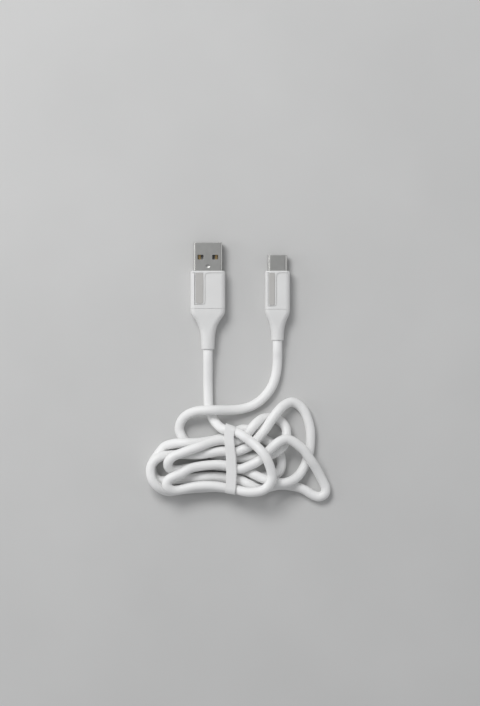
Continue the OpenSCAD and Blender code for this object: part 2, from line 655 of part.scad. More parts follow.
module usb_a_contact_vbus() { a_contact(-a_outer_x, a_outer_set); }
module usb_a_contact_d_minus() { a_contact(-a_inner_x, a_inner_set); }
module usb_a_contact_d_plus() { a_contact(a_inner_x, a_inner_set); }
module usb_a_contact_gnd() { a_contact(a_outer_x, a_outer_set); }

// A wire from its contact's tail to its place in the cord
module a_wire(x, side, level) {
    z = a_contact_top + solder_gap + wire_d / 2;
    home = wire_pitch / 2 * [side, level];
    in_a() tube([
        [x, -a_block_half - a_wire_start, z], [x, a_bend_y, z],
        [home.x, -a_jacket + a_wire_end, home.y], [home.x, -a_jacket, home.y]], wire_d, wire_sides);
}

module usb_a_wire_red() { color("red") a_wire(-a_outer_x, -1, -1); }
module usb_a_wire_white() { color("white") a_wire(-a_inner_x, -1, 1); }
module usb_a_wire_green() { color("green") a_wire(a_inner_x, 1, 1); }
module usb_a_wire_black() { color("dimgray") a_wire(a_outer_x, 1, -1); }
module usb_a_crimp_ring() { color("silver") in_a() crimp_ring(a_jacket); }

module usb_a_inner_mould() {
    section = a_cavity - 2 * [fit, fit];
    chamber = [a_inner_w, a_inner_h] - 2 * [a_chamber_inset, a_chamber_inset];
    color("ivory") in_a() inner_mould(section, a_front_wall, a_mould_end, a_shell_in, a_jacket) {
        rounded_rect([a_shell_w, a_shell_h] + 2 * [fit, fit], a_shell_r + fit);
        rounded_rect(chamber, a_shell_r - a_shell_t);
    }
}

module usb_a_housing() {
    color("whitesmoke") in_a() difference() {
        housing_body([a_housing_w, a_housing_h], a_housing_l, a_housing_r, a_cavity, a_socket,
            a_front_wall) rounded_rect([a_shell_w, a_shell_h] + 2 * [fit, fit], a_shell_r + fit);
        translate([0, 0, a_z - field_depth]) linear_extrude(cut)
            sunk_outline(a_field_left, a_field_right, a_field_l, a_strip_l, a_housing_w);
        translate([0, 0, a_z - field_depth - pocket_depth]) linear_extrude(cut)
            inlay_outline(-a_inlay_left, a_inlay_set, [a_inlay_w, a_inlay_l], fit);
    }
}

module usb_a_inlay() {
    color("lightgray") in_a() translate([0, 0, a_z - field_depth - pocket_depth])
        linear_extrude(inlay_t)
            inlay_outline(-a_inlay_left, a_inlay_set, [a_inlay_w, a_inlay_l], 0);
}

module usb_a_strain_relief() {
    color("whitesmoke") in_a() strain_relief([a_housing_w, a_housing_h], a_housing_r,
        a_housing_l, a_relief_l, a_relief_d, a_socket - 2 * [fit, fit], a_relief_shape);
}

module cord_a_end() {
    color("whitesmoke") in_a() run(-a_jacket, -a_end) circle(d = cord_d);
}

// ---- USB-C plug ----

module usb_c_shell() {
    outer = [c_shell_w, c_shell_h];
    color("silver") in_c() run(c_shell_out, -c_shell_in) difference() {
        stadium(outer);
        stadium(outer - 2 * [c_shell_t, c_shell_t]);
    }
}

function c_contact_x(i) = (i - 6.5) * c_pitch;

// The slots that the contacts of one row lie in
module c_slots(row) {
    for (i = row)
        span([c_contact_x(i) - c_slot_w / 2, c_contact_x(i) + c_slot_w / 2],
            [-c_carrier_in - cut, c_slot_front], [c_tail_z - fit, c_carrier_h]);
}

module usb_c_contact_carrier() {
    spring = c_spring_w / 2 + fit;
    color("gray") in_c() difference() {
        run(c_carrier_front, -c_carrier_in) stadium([c_carrier_w, c_carrier_h]);
        span([-c_mouth_w / 2, c_mouth_w / 2],
            [c_carrier_front - c_mouth_l, c_carrier_front + cut], c_mouth_h / 2 * [-1, 1]);
        for (s = [0, 180]) rotate([0, s, 0]) {
            span([c_mouth_w / 2 - fit, c_carrier_w], [c_latch_slot_back, c_carrier_front + cut],
                c_mouth_h / 2 * [-1, 1]);
            c_slots(s == 0 ? c_upper_numbers : c_lower_numbers);
            span([-spring, spring], [c_spring_back - fit, c_spring_back + c_spring_l + fit],
                [c_spring_z - fit, c_carrier_h]);
        }
    }
}

// One row of contacts: tail on the board, arm in its slot, dipping to meet the socket's tongue
module c_contacts(row) {
    line = [
        [c_tail_end, c_tail_z], [c_rise_back, c_tail_z], [c_rise_back + c_rise_l, c_arm_z],
        [c_touch_back - c_dip_l, c_arm_z], [c_touch_back, c_touch_z], [c_touch_front, c_touch_z],
        [c_touch_front + c_lip_l, c_touch_z + c_lip_rise]];
    upper = [for (k = [len(line) - 1:-1:0]) line[k] + [0, c_contact_t]];
    for (i = row)
        side_profile(c_contact_x(i), c_contact_w, concat(line, upper));
}

module usb_c_upper_contacts() { color("gold") in_c() c_contacts(c_upper_numbers); }
module usb_c_lower_contacts() {
    color("gold") in_c() rotate([0, 180, 0]) c_contacts(c_lower_numbers);
}

// A side latch: a flat arm with a hook that stands into the mouth near its front end
module c_latch() {
    x = c_latch_x;
    y = c_latch_front;
    tip = c_mouth_w / 2 - c_hook;
    hook_back = c_hook_front + c_hook_flat;
    translate([0, 0, -c_latch_w / 2]) linear_extrude(c_latch_w) polygon([
        [x, y - c_latch_l], [x + c_latch_t, y - c_latch_l], [x + c_latch_t, y], [x, y],
        [tip, y - c_hook_front], [tip, y - hook_back], [x, y - hook_back - c_hook_ramp]]);
}

module usb_c_left_latch() { color("silver") in_c() mirror([1, 0, 0]) c_latch(); }
module usb_c_right_latch() { color("silver") in_c() c_latch(); }

module c_emi_spring() {
    half = c_spring_w / 2;
    span([-half, half], [c_spring_back, c_spring_back + c_spring_l],
        [c_spring_z, c_spring_z + c_spring_t]);
}

module usb_c_emi_spring_top() { color("silver") in_c() c_emi_spring(); }
module usb_c_emi_spring_bottom() { color("silver") in_c() rotate([0, 180, 0]) c_emi_spring(); }

module usb_c_circuit_board() {
    color("seagreen") in_c() span(c_board_w / 2 * [-1, 1],
        [-c_board_set - c_board_l, -c_board_set], c_board_top * [-1, 1]);
}

module usb_c_resistor() {
    y = -c_board_set - c_resistor_set;
    color("dimgray") in_c() span(c_resistor_l / 2 * [-1, 1], [y, y + c_resistor_w],
        [c_board_top, c_board_top + c_resistor_h]);
}

// A wire from its pad on the board to its place in the cord
module c_wire(x, side, level) {
    z = level * (c_board_top + solder_gap + wire_d / 2);
    home = wire_pitch / 2 * [side, level];
    back = c_board_set + c_board_l;
    in_c() tube([
        [x, c_wire_start - back, z], [x, c_wire_bend - back, z], [home.x, -back, z],
        [home.x, -c_jacket + c_wire_end, home.y], [home.x, -c_jacket, home.y]],
        wire_d, wire_sides);
}

module usb_c_wire_red() { color("red") c_wire(c_red_x, -1, 1); }
module usb_c_wire_black() { color("dimgray") c_wire(-c_red_x, 1, 1); }
module usb_c_wire_green() { color("green") c_wire(c_green_x, -1, -1); }
module usb_c_wire_white() { color("white") c_wire(-c_green_x, 1, -1); }
module usb_c_crimp_ring() { color("silver") in_c() crimp_ring(c_jacket); }

module usb_c_inner_mould() {
    section = c_cavity - 2 * [fit, fit];
    chamber = [c_board_w + 2 * end_gap, c_chamber_h];
    color("ivory") in_c() inner_mould(section, c_front_wall, c_mould_end, c_shell_in, c_jacket) {
        stadium([c_shell_w, c_shell_h] + 2 * [fit, fit]);
        rounded_rect(chamber, chamber_r);
    }
}

module usb_c_housing() {
    color("whitesmoke") in_c() difference() {
        housing_body([c_housing_w, c_housing_h], c_housing_l, c_housing_r, c_cavity, c_socket,
            c_front_wall) stadium([c_shell_w, c_shell_h] + 2 * [fit, fit]);
        translate([0, 0, c_z - field_depth]) linear_extrude(cut)
            sunk_outline(c_field_left, c_field_right, c_field_l, c_strip_l, c_housing_w);
        translate([0, 0, c_z - field_depth - pocket_depth]) linear_extrude(cut)
            inlay_outline(-c_inlay_left, c_inlay_set, [c_inlay_w, c_inlay_l], fit);
    }
}

module usb_c_inlay() {
    color("lightgray") in_c() translate([0, 0, c_z - field_depth - pocket_depth])
        linear_extrude(inlay_t)
            inlay_outline(-c_inlay_left, c_inlay_set, [c_inlay_w, c_inlay_l], 0);
}

module usb_c_strain_relief() {
    color("whitesmoke") in_c() strain_relief([c_housing_w, c_housing_h], c_housing_r,
        c_housing_l, c_relief_l, c_relief_d, c_socket - 2 * [fit, fit], c_relief_shape);
}

module cord_c_end() {
    color("whitesmoke") in_c() run(-c_jacket, -c_end) circle(d = cord_d);
}

// ---- Cord and tie ----

module cord_a_lead() {
    color("white") tube(route, cord_d, lead_sides, 0, bundle_first);
}

module cord_bundle() {
    color("white") tube(route, cord_d, bundle_sides, bundle_first, bundle_last);
}

module cord_c_lead() {
    color("white") tube(route, cord_d, lead_sides, bundle_last);
}

module tie_band() {
    w = band_y_near - band_y_far;
    inner = [w, band_inner_h];
    top = 2 * band_t + band_inner_h;
    color("white") translate([band_x - band_w / 2, (band_y_near + band_y_far) / 2, top / 2])
        rotate([90, 0, 90]) linear_extrude(band_w) {
            difference() {
                rounded_rect(inner + 2 * [band_t, band_t], band_r + band_t);
                rounded_rect(inner, band_r);
            }
            translate([w / 2 - band_r - flap_l, top / 2]) square([flap_l, band_t]);
        }
}

// ---- Measures of the cord ----

// A point between route points i and i + 1 on the smooth curve through all of them
function curve_at(i, t) =
    let (n = len(route) - 1, p0 = route[max(i - 1, 0)], p1 = route[i],
        p2 = route[min(i + 1, n)], p3 = route[min(i + 2, n)])
    0.5 * (2 * p1 + (p2 - p0) * t + (2 * p0 - 5 * p1 + 4 * p2 - p3) * t * t
        + (3 * p1 - p0 - 3 * p2 + p3) * t * t * t);
samples_per_span = 3;
near_samples = 15;
module measure_cord() {
    samples = [for (i = [0:len(route) - 2], k = [0:samples_per_span - 1])
        curve_at(i, k / samples_per_span)];
    n = len(samples);
    gaps = [for (i = [0:n - near_samples - 1])
        min([for (j = [i + near_samples:n - 1]) norm(samples[i] - samples[j])])];
    steps = [for (i = [1:n - 1]) norm(samples[i] - samples[i - 1])];
    length = steps * [for (s = steps) 1] + a_end - a_jacket + c_end - c_jacket;
    echo(str("least gap of the cord to itself: ", min(gaps) - cord_d, " mm"));
    echo(str("length of the cord: ", length, " mm"));
}

measure_cord();  // cord_bundle
usb_a_shell();
usb_a_tongue();
usb_a_contact_vbus();
usb_a_contact_d_minus();
usb_a_contact_d_plus();
usb_a_contact_gnd();
usb_a_wire_red();
usb_a_wire_white();
usb_a_wire_green();
usb_a_wire_black();
usb_a_crimp_ring();
usb_a_inner_mould();
usb_a_housing();
usb_a_inlay();
usb_a_strain_relief();
cord_a_end();
usb_c_shell();
usb_c_contact_carrier();
usb_c_upper_contacts();
usb_c_lower_contacts();
usb_c_left_latch();
usb_c_right_latch();
usb_c_emi_spring_top();
usb_c_emi_spring_bottom();
usb_c_circuit_board();
usb_c_resistor();
usb_c_wire_red();
usb_c_wire_white();
usb_c_wire_green();
usb_c_wire_black();
usb_c_crimp_ring();
usb_c_inner_mould();
usb_c_housing();
usb_c_inlay();
usb_c_strain_relief();
cord_c_end();
cord_a_lead();
cord_bundle();
cord_c_lead();
tie_band();
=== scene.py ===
from math import cos, radians, sin

import bmesh
import bpy
from mathutils import Matrix, Vector


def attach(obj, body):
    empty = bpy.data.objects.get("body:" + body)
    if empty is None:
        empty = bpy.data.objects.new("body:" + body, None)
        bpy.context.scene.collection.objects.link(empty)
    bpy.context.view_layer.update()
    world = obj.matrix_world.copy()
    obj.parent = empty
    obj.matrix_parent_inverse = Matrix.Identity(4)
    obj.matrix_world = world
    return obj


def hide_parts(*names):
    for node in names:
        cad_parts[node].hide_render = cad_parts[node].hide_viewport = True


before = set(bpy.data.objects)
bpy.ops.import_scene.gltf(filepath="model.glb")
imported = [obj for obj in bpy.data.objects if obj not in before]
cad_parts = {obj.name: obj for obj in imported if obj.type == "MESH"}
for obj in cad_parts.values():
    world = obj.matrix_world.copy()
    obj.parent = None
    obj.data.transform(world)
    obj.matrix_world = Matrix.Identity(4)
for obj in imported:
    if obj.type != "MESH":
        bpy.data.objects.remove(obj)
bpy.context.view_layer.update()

# The pieces are drawn in millimetres and set down in metres, and the camera and the lights are
# placed in metres. Places and sizes are those of part.scad, but for fine trim and small changes
# to the sunk field, the dimple and the tie band.
MM = 0.001
# The body that every piece rides on
BODY = "cable"
# Stands before each material's name, to keep it apart from other materials of the same name
LOOK = "look_"

# Each plug is drawn in its own frame: the middle of its housing's front face, +Y out to the tip.
#   place: that origin in the part's frame
#   size, length, radius: section, length and corner radius of the housing
#   relief_l, relief_d: length of the strain relief, and its diameter where the cord leaves it
#   shell, shell_r, shell_t: section, corner radius and sheet thickness of the steel shell
#   shell_out, shell_in: the shell's length outside and inside the housing
#   field: left and right edge of the sunk field, both left of the middle, and its far end
#   strip: length of the sunk strip across the housing's front edge
#   inlay: left edge of the inlay, its distance behind the front face, its width and its length
#   relief: share of the strain relief's length, and how much of the housing's section is left there
PLUG_A = dict(
    name="a", place=(-13.625, 10.6, 3.5), size=(14.6, 7.0), length=15.9, radius=2.0,
    relief_l=17.2, relief_d=5.6, shell=(12.0, 4.5), shell_r=0.8, shell_t=0.3,
    shell_out=11.9, shell_in=6.0, field=(5.7, 1.0, 14.3), strip=1.05,
    inlay=(-5.35, 0.9, 3.45, 12.95),
    relief=((0, 1), (0.06, 0.98), (0.15, 0.88), (0.28, 0.55), (0.40, 0.31), (0.52, 0.15),
            (0.65, 0.06), (0.80, 0.02), (0.98, 0), (1, 0)))
PLUG_C = dict(
    name="c", place=(15.675, 10.6, 3.25), size=(10.5, 6.5), length=16.2, radius=2.0,
    relief_l=13.1, relief_d=5.3, shell=(8.25, 2.4), shell_r=1.2, shell_t=0.2,
    shell_out=6.65, shell_in=4.0, field=(4.05, 0.2, 15.0), strip=1.0,
    inlay=(-3.8, 0.95, 2.75, 13.6),
    relief=((0, 1), (0.07, 0.97), (0.18, 0.83), (0.34, 0.5), (0.46, 0.3), (0.60, 0.13),
            (0.79, 0.02), (0.97, 0), (1, 0)))

# Clearance of the holes for the steel shell and the cord, and how deep the holes go
FIT = 0.05
HOLE_DEPTH = 1
# How far a cutter reaches past the surface that it cuts
PAST = 1
# Stepped front edge of a housing: how far the front stands in, and how long it is
LIP_H = 0.3
LIP_L = 0.4
# Sunk part of the face: its depth, and the radius of its curved corners
FIELD_DEPTH = 0.2
FIELD_R = 1.3
# Groove round the sunk part: half its width, its depth, and how far it cuts into the step
GROOVE = 0.14
GROOVE_DEPTH = 0.45
GROOVE_BITE = 0.02
# Pocket of the inlay below the sunk field, and the inlay's thickness
POCKET_DEPTH = 0.22
INLAY_T = 0.3
# Half of the gap round the inlay, and how much wider the gap is at the inlay's left edge
INLAY_GAP = 0.08
INLAY_EDGE = 0.2
# Seam between housing and strain relief: half its width, and its depth
SEAM = 0.08
SEAM_DEPTH = 0.32
# Catch windows of the USB-A shell: width and length, the distance between their middles, and how
# far these are in front of the housing
WINDOW = (2.5, 2.0)
WINDOW_PITCH = 6.2
WINDOW_Y = 5.74
# Dimple of the USB-A shell: how far in front of the housing it is, the radius of the ball that
# makes it, the ball's spread in X, Y and Z, and the angle in degrees from its lowest point to
# where it meets the sheet
DIMPLE_Y = 2.0
DIMPLE_R = 1.2
DIMPLE_SPREAD = (1.8, 1.3, 1)
DIMPLE_ANGLE = 30

# Cord: diameter, and how far each end goes into a strain relief
CORD_D = 4.0
INSIDE_RELIEF = 2.0

# Tie band: its middle, and its inner faces at the near and the far end
BAND_X = -4.4
BAND_NEAR = -53.9
BAND_FAR = -83.3
# Width and thickness of the strip, radius and height of the space inside it
BAND_W = 4.1
BAND_T = 0.4
BAND_R = 2.0
BAND_H = 9.4
# The strip starts so far behind its near corner, and climbs on to its start in so many points
BAND_START = 3
LAP_RISE = 8
# How far the first round lies to the right of the lap, and the share of the lean that the strip
# keeps on its under side
UNDER_SHIFT = 0.3
UNDERSIDE_LEAN = 0.2
# Half of how far one edge of the strip is ahead of the other along Y, at each end
NEAR_SLANT = 0.75
FAR_SLANT = 0.35
# How far the band leans aside, by its share of the way from its near end to its far end
BAND_LEAN = ((0, 0.1), (0.05, -0.3), (0.12, -0.55), (0.25, -0.25), (0.43, 0.3), (0.67, 0.6),
             (0.88, 0.36), (1, 0))

# Middle line of the cord from plug to plug, through the same points as in part.scad
ROUTE_MM = [
    # From the strain relief of the USB-A plug to the tie band
    (-13.625, -22.5, 3.5), (-13.625, -26.5, 3.5), (-13.6, -32, 2.7), (-13.6, -37, 2.1),
    (-13.5, -41, 2.1), (-13.4, -45, 2.1), (-12.9, -48.5, 2.1), (-11.6, -51.6, 2.5),
    (-9.6, -54.2, 4.2),
    # Top loop on the right
    (-7.2, -56, 6.4), (-4.6, -56.5, 7.1), (-2, -57.2, 7.5), (0, -58, 9.6), (1.6, -59.1, 11),
    (4.1, -60.9, 11.6), (6.7, -63, 12.5), (9.2, -65.6, 13.5), (11.1, -68.4, 13.7),
    (12.5, -71.8, 12.8), (13.3, -75, 11.9), (13, -77.7, 11.5), (11.5, -80.2, 11),
    (8.8, -81.9, 10.8), (5, -82.5, 10.6), (1.6, -82.2, 9.9), (-1.3, -81.5, 7.5),
    (-4.4, -80.9, 7.1),
    # Top loop on the left
    (-7.2, -80.4, 7.1), (-11, -79.9, 7.1), (-15.2, -79.8, 7.1), (-19.4, -80.2, 7.1),
    (-23.6, -81.1, 7.1), (-26.4, -81.7, 7.4), (-28.5, -81.7, 8.2), (-30.3, -80.6, 9.1),
    (-30.9, -78.9, 9.5), (-30, -77.1, 9.7), (-27.8, -75.9, 9.8), (-24.9, -74.7, 9.4),
    (-21.1, -72.6, 8.6), (-16.9, -71.6, 7.6), (-12.7, -71.1, 7.2), (-8.9, -70.9, 7.1),
    (-4.7, -71.5, 7.2),
    # Longest loop on the right, out to the lower right tip
    (-1.8, -72.5, 7.3), (0.3, -72.7, 7.8), (2.9, -71.8, 8.2), (5.8, -70.5, 8.1),
    (8.3, -68.9, 8.3), (10.4, -66.8, 9), (12.5, -64.6, 10.1), (14.7, -62.5, 10.5),
    (16.8, -61, 10.2), (19.3, -60.2, 9.5), (21.8, -61, 9), (24.3, -62.7, 8.5),
    (26.7, -64.8, 7.9), (28.5, -67.4, 7.1), (30.2, -69.9, 6.1), (31.9, -72.6, 4.6),
    (33.6, -75.8, 3.2), (35.1, -78.7, 2.4), (36, -81, 2.1), (35.6, -83.3, 2.1),
    (33.4, -84.6, 2.1), (30.5, -83.8, 2.1), (27.8, -82.1, 2.1), (25.2, -80.9, 2.1),
    (22.2, -80.2, 2.1), (18.9, -79.7, 2.1), (15.5, -79.8, 2.1), (12.1, -80.6, 2.3),
    (9.2, -81.2, 3.6), (6.2, -80.6, 6.1), (3.3, -79.1, 6.7), (0.8, -77.8, 5.4),
    (-1.8, -77.1, 3.7), (-4.3, -76.7, 2.6),
    # Widest loop on the left
    (-7.2, -76.3, 2.6), (-11, -76.1, 3.4), (-15.2, -76.2, 4.1), (-19.4, -76.6, 3.8),
    (-23.7, -77.1, 2.8), (-27.5, -77.2, 2.3), (-30.4, -77.6, 2.1), (-32.9, -77.9, 2.1),
    (-35.2, -77.1, 2.1), (-36.8, -75.2, 2.1), (-37.4, -72.8, 2.1), (-36.8, -70.1, 2.1),
    (-35.2, -67.6, 2.1), (-33.6, -65.4, 2.1), (-31.7, -63.4, 2.3), (-28.7, -62.3, 4.2),
    (-25.8, -61.9, 6.2), (-22.8, -61.8, 6.8), (-19.9, -61.8, 6.4), (-16.9, -61.6, 5.5),
    (-14, -61.2, 4.3), (-10.6, -60.6, 3.2), (-7.5, -59.8, 2.7), (-4.3, -58.7, 2.5),
    # Small loop on the right, under the others
    (-1.8, -57.2, 2.4), (1.2, -56.1, 2.1), (4.1, -56.6, 2.1), (7.1, -58, 2.1), (10, -60.2, 2.1),
    (13, -62.1, 2.1), (15.3, -64.4, 2.1), (16.8, -66.9, 2.1), (17.4, -69.8, 2.1),
    (17.1, -72.5, 2.1), (15.9, -74.6, 2.1), (13.8, -75.5, 2.1), (11.1, -75.8, 2.1),
    (8.3, -76.3, 2.1), (6, -77.5, 2.1), (3.7, -79.4, 2.1), (1.4, -81.1, 2.2),
    (-1.3, -81.4, 2.4), (-4.3, -81.2, 2.5),
    # Second loop on the left
    (-7.2, -80.8, 2.4), (-11, -80.6, 2.1), (-15.2, -80.8, 2.1), (-19.4, -81.1, 2.1),
    (-23.7, -81.5, 2.1), (-27, -82, 2.4), (-30, -82.3, 3.4), (-32.7, -81.5, 4.9),
    (-35, -80, 6.2), (-36.8, -77.7, 6.7), (-37.7, -74.8, 6.7), (-37.6, -72, 6.7),
    (-36.5, -69.8, 6.7), (-34.6, -68.2, 6.6), (-32.5, -67.4, 6.1), (-30.4, -67.1, 5.2),
    (-27.5, -66.9, 4.2), (-24.1, -66.7, 4.5), (-20.7, -66.8, 5.8), (-16.9, -66.7, 6.8),
    (-13.6, -66.2, 7.1), (-10.2, -65.6, 7.1), (-7.2, -65.3, 7.1), (-4.3, -65.6, 7.1),
    # Tall loop on the right
    (-1.8, -65.6, 7.2), (1.2, -64.5, 7.5), (3.6, -63.4, 6.9), (5.5, -62, 6.5), (8.2, -59, 6.6),
    (10.8, -55.7, 6.8), (13.3, -51.9, 6.9), (15.9, -48.4, 6.2), (18.4, -46, 4.6),
    (21.4, -44.7, 3.1), (24.3, -45.7, 2.3), (26.9, -48.4, 2.1), (28.5, -52.2, 2.1),
    (29.5, -56.4, 2.1), (29.6, -60.6, 2.1), (29.2, -64.8, 2.1), (28.3, -68.2, 2.1),
    (27.1, -71.6, 2.4), (25.4, -74.5, 3.6), (23.1, -76.8, 5.2), (20.1, -78.3, 6.6),
    (16.8, -78.7, 6.8), (13, -77.9, 6.8), (9.2, -76.7, 6.8), (5.9, -75.2, 6.2), (2.9, -74, 3.9),
    (0.3, -73.2, 2.9), (-2.2, -72.5, 2.6), (-4.7, -72.1, 2.5),
    # Third loop on the left
    (-7.7, -71.7, 2.5), (-11.5, -71.5, 2.5), (-15.2, -71.5, 2.6), (-19, -71.9, 3.1),
    (-22.8, -72.6, 4.1), (-25.8, -73.2, 4.9), (-28.2, -73.2, 5.7), (-30, -72.2, 7),
    (-30.4, -70.5, 8.7), (-29.6, -68.8, 9.6), (-27.8, -67.3, 9.6), (-24.5, -66, 9.9),
    (-21.1, -64.7, 10.4), (-17.3, -63.4, 10.2), (-14, -62.1, 9.1), (-10.6, -61.1, 7.9),
    (-7.7, -60.7, 7.2), (-4.7, -61.1, 6.8),
    # Middle loop on the right
    (-2.4, -61.4, 5.7), (-0.3, -60.8, 5), (1.6, -59.5, 5.3), (3.4, -57.5, 6.4), (5, -55.4, 6.7),
    (7.1, -53.2, 5.7), (9.6, -51.6, 3.7), (12.5, -51.3, 2.3), (15.5, -51.9, 2.1),
    (17.7, -53.4, 2.1), (19.2, -55.6, 2.6), (19.5, -58.3, 3.7), (19.1, -61.1, 4.8),
    (17.6, -63.6, 6.2), (15.5, -65.5, 6.8), (13, -66.8, 5.3), (10.2, -67.5, 4.2),
    (7.1, -67.9, 3.8), (3.7, -68.1, 4), (0.3, -68.2, 3.6), (-2.2, -67.9, 2.9),
    (-4.7, -67.4, 2.5),
    # From the tie band to the strain relief of the USB-C plug
    (-7.7, -67, 2.5), (-11, -66.7, 2.1), (-14.4, -65.9, 2.1), (-17.8, -64.8, 2.1),
    (-20.7, -63.4, 2.1), (-23, -61.5, 2.1), (-24.6, -59.2, 2.1), (-25.6, -56.4, 2.2),
    (-25.3, -53.7, 2.9), (-23.9, -51.4, 3.9), (-21.6, -49.6, 5.2), (-18.2, -48.4, 6.3),
    (-14.8, -48.1, 6.8), (-11.5, -48, 6.8), (-7.7, -48, 5.8), (-3.9, -48, 4.2),
    (-0.1, -47.7, 2.9), (3.3, -46.9, 2.2), (6.4, -45.5, 2.1), (9.2, -43.4, 2.1),
    (11.7, -40.6, 2.1), (13.6, -37.5, 2.1), (14.9, -33.7, 2.1), (15.5, -29.9, 2.1),
    (15.7, -26.5, 2.4), (15.675, -22.7, 3.25), (15.675, -18.7, 3.25),
]


# ---- Objects and camera ----

def placed(name, data):
    """A new object in the scene."""
    thing = bpy.data.objects.new(name, data)
    bpy.context.scene.collection.objects.link(thing)
    return thing


def coat(data, material):
    """Give a mesh or a curve one of this script's materials."""
    data.materials.clear()
    data.materials.append(bpy.data.materials[LOOK + material])


def make_camera():
    """Straight down from far off, as the photograph is taken, and at its scale."""
    camera = placed("camera", bpy.data.cameras.new("camera"))
    camera.location = (-0.0001, -0.024, 2.482)
    camera.data.lens = 300
    camera.data.clip_start = 0.05
    bpy.context.scene.camera = camera


# ---- Mesh helpers, in millimetres ----

def mm(x, y, z):
    """A point given in millimetres, as a vector in metres."""
    return Vector((x, y, z)) * MM


def arc(centre, radius, first, last, steps=8):
    """Points on an arc in a plane, from one angle to another in degrees."""
    turns = [radians(first + (last - first) * k / steps) for k in range(steps + 1)]
    return [(centre[0] + radius * cos(t), centre[1] + radius * sin(t)) for t in turns]


def rounded_ring(size, radius, y, steps=8):
    """A rounded rectangle in X and Z at one y. Its radius stays just under half of a side."""
    most = 0.499 * min(size)
    radius = min(radius, most)
    x = size[0] / 2 - radius
    z = size[1] / 2 - radius
    corners = [(x, z, 0), (-x, z, 90), (-x, -z, 180), (x, -z, 270)]
    flat = [p for cx, cz, turn in corners for p in arc((cx, cz), radius, turn, turn + 90, steps)]
    return [(px, y, pz) for px, pz in flat]


def loft(name, rings, closed=False):
    """A mesh through rings of equally many points; closed joins the last ring to the first."""
    count = len(rings[0])
    total = len(rings)
    points = [p for ring in rings for p in ring]
    faces = []
    for i in range(total if closed else total - 1):
        here = i * count
        there = (i + 1) % total * count
        for k in range(count):
            beside = (k + 1) % count
            faces.append((here + k, here + beside, there + beside, there + k))
    if not closed:
        faces.append(list(range(count))[::-1])
        faces.append([(total - 1) * count + k for k in range(count)])
    return finished_mesh(name, points, faces)


def prism(name, outline, low, high):
    """A plan outline in X and Y, drawn up from z = low to z = high."""
    count = len(outline)
    points = [(x, y, z) for z in (low, high) for x, y in outline]
    faces = [(k, (k + 1) % count, (k + 1) % count + count, k + count) for k in range(count)]
    faces.append(list(range(count))[::-1])
    faces.append(list(range(count, 2 * count)))
    return finished_mesh(name, points, faces)


def ribbon(name, line, half, low, high):
    """A strip of even width along a line in plan, drawn up from z = low to z = high."""
    # Half of a turn counts with this cosine at least, which keeps a sharp corner from running out
    least_cosine = 0.35
    line = [Vector(p) for p in line]
    last = len(line) - 1
    left, right = [], []
    for i, point in enumerate(line):
        after = (line[min(i + 1, last)] - line[min(i, last - 1)]).normalized()
        before = (line[max(i, 1)] - line[max(i - 1, 0)]).normalized()
        side = (before + after).normalized().orthogonal()
        side *= half / max(side.dot(after.orthogonal()), least_cosine)
        left.append(point + side)
        right.append(point - side)
    return prism(name, left + right[::-1], low, high)


def finished_mesh(name, points, faces):
    """A mesh of these faces, all turned outward."""
    mesh = bpy.data.meshes.new(name)
    mesh.from_pydata(points, [], faces)
    work = bmesh.new()
    work.from_mesh(mesh)
    bmesh.ops.recalc_face_normals(work, faces=work.faces)
    work.to_mesh(mesh)
    work.free()
    return mesh


def cut(mesh, tools):
    """The mesh without the space of the tools."""
    body = placed("body", mesh)
    spent = [body]
    for tool_mesh in tools:
        tool = placed("tool", tool_mesh)
        spent.append(tool)
        step = body.modifiers.new("cut", "BOOLEAN")
        step.operation = "DIFFERENCE"
        step.solver = "EXACT"
        step.object = tool
    bpy.context.view_layer.update()
    seen = body.evaluated_get(bpy.context.evaluated_depsgraph_get())
    result = bpy.data.meshes.new_from_object(seen)
    for piece in spent:
        old = piece.data
        bpy.data.objects.remove(piece)
        bpy.data.meshes.remove(old)
    return result


def soften(mesh, width, angle=35, segments=2):
    """Merge double points and round every edge that turns by more than the angle in degrees."""
    double = 0.002
    work = bmesh.new()
    work.from_mesh(mesh)
    bmesh.ops.remove_doubles(work, verts=work.verts, dist=double)
    sharp = [e for e in work.edges
             if len(e.link_faces) == 2 and e.calc_face_angle(0) > radians(angle)]
    bmesh.ops.bevel(work, geom=sharp, offset=width, offset_type="OFFSET", segments=segments,
                    profile=0.5, affect="EDGES", clamp_overlap=True)
    work.to_mesh(mesh)
    work.free()
    return mesh


def new_piece(name, mesh, place, material, nodes, sharp_angle=50):
    """Set a mesh down at its place, as a piece that rides on the cable for some CAD nodes."""
    mesh.transform(Matrix.Scale(MM, 4) @ Matrix.Translation(place))
    for face in mesh.polygons:
        face.use_smooth = True
    mesh.set_sharp_from_angle(angle=radians(sharp_angle))
    coat(mesh, material)
    piece = placed(name, mesh)
    normals = piece.modifiers.new("normals", "WEIGHTED_NORMAL")
    normals.keep_sharp = True
    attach(piece, BODY)
    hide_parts(*nodes)
    return piece


# ---- Plugs ----

def face_cutter(plug):
    """The sunk part of the face: a strip across the front and a field down the left."""
    left, right, length = plug["field"]
    strip = plug["strip"]
    wide = plug["size"][0] / 2 + PAST
    top = plug["size"][1] / 2
    outline = [(-wide, PAST), (-wide, -strip), (-left, -strip), (-left, -length)]
    outline += arc((-right - FIELD_R, -length + FIELD_R), FIELD_R, -90, 0)
    outline += arc((-right + FIELD_R, -strip - FIELD_R), FIELD_R, 180, 90)
    outline += [(wide, -strip), (wide, PAST)]
    return prism("face_cutter", outline, top - FIELD_DEPTH, top + PAST)


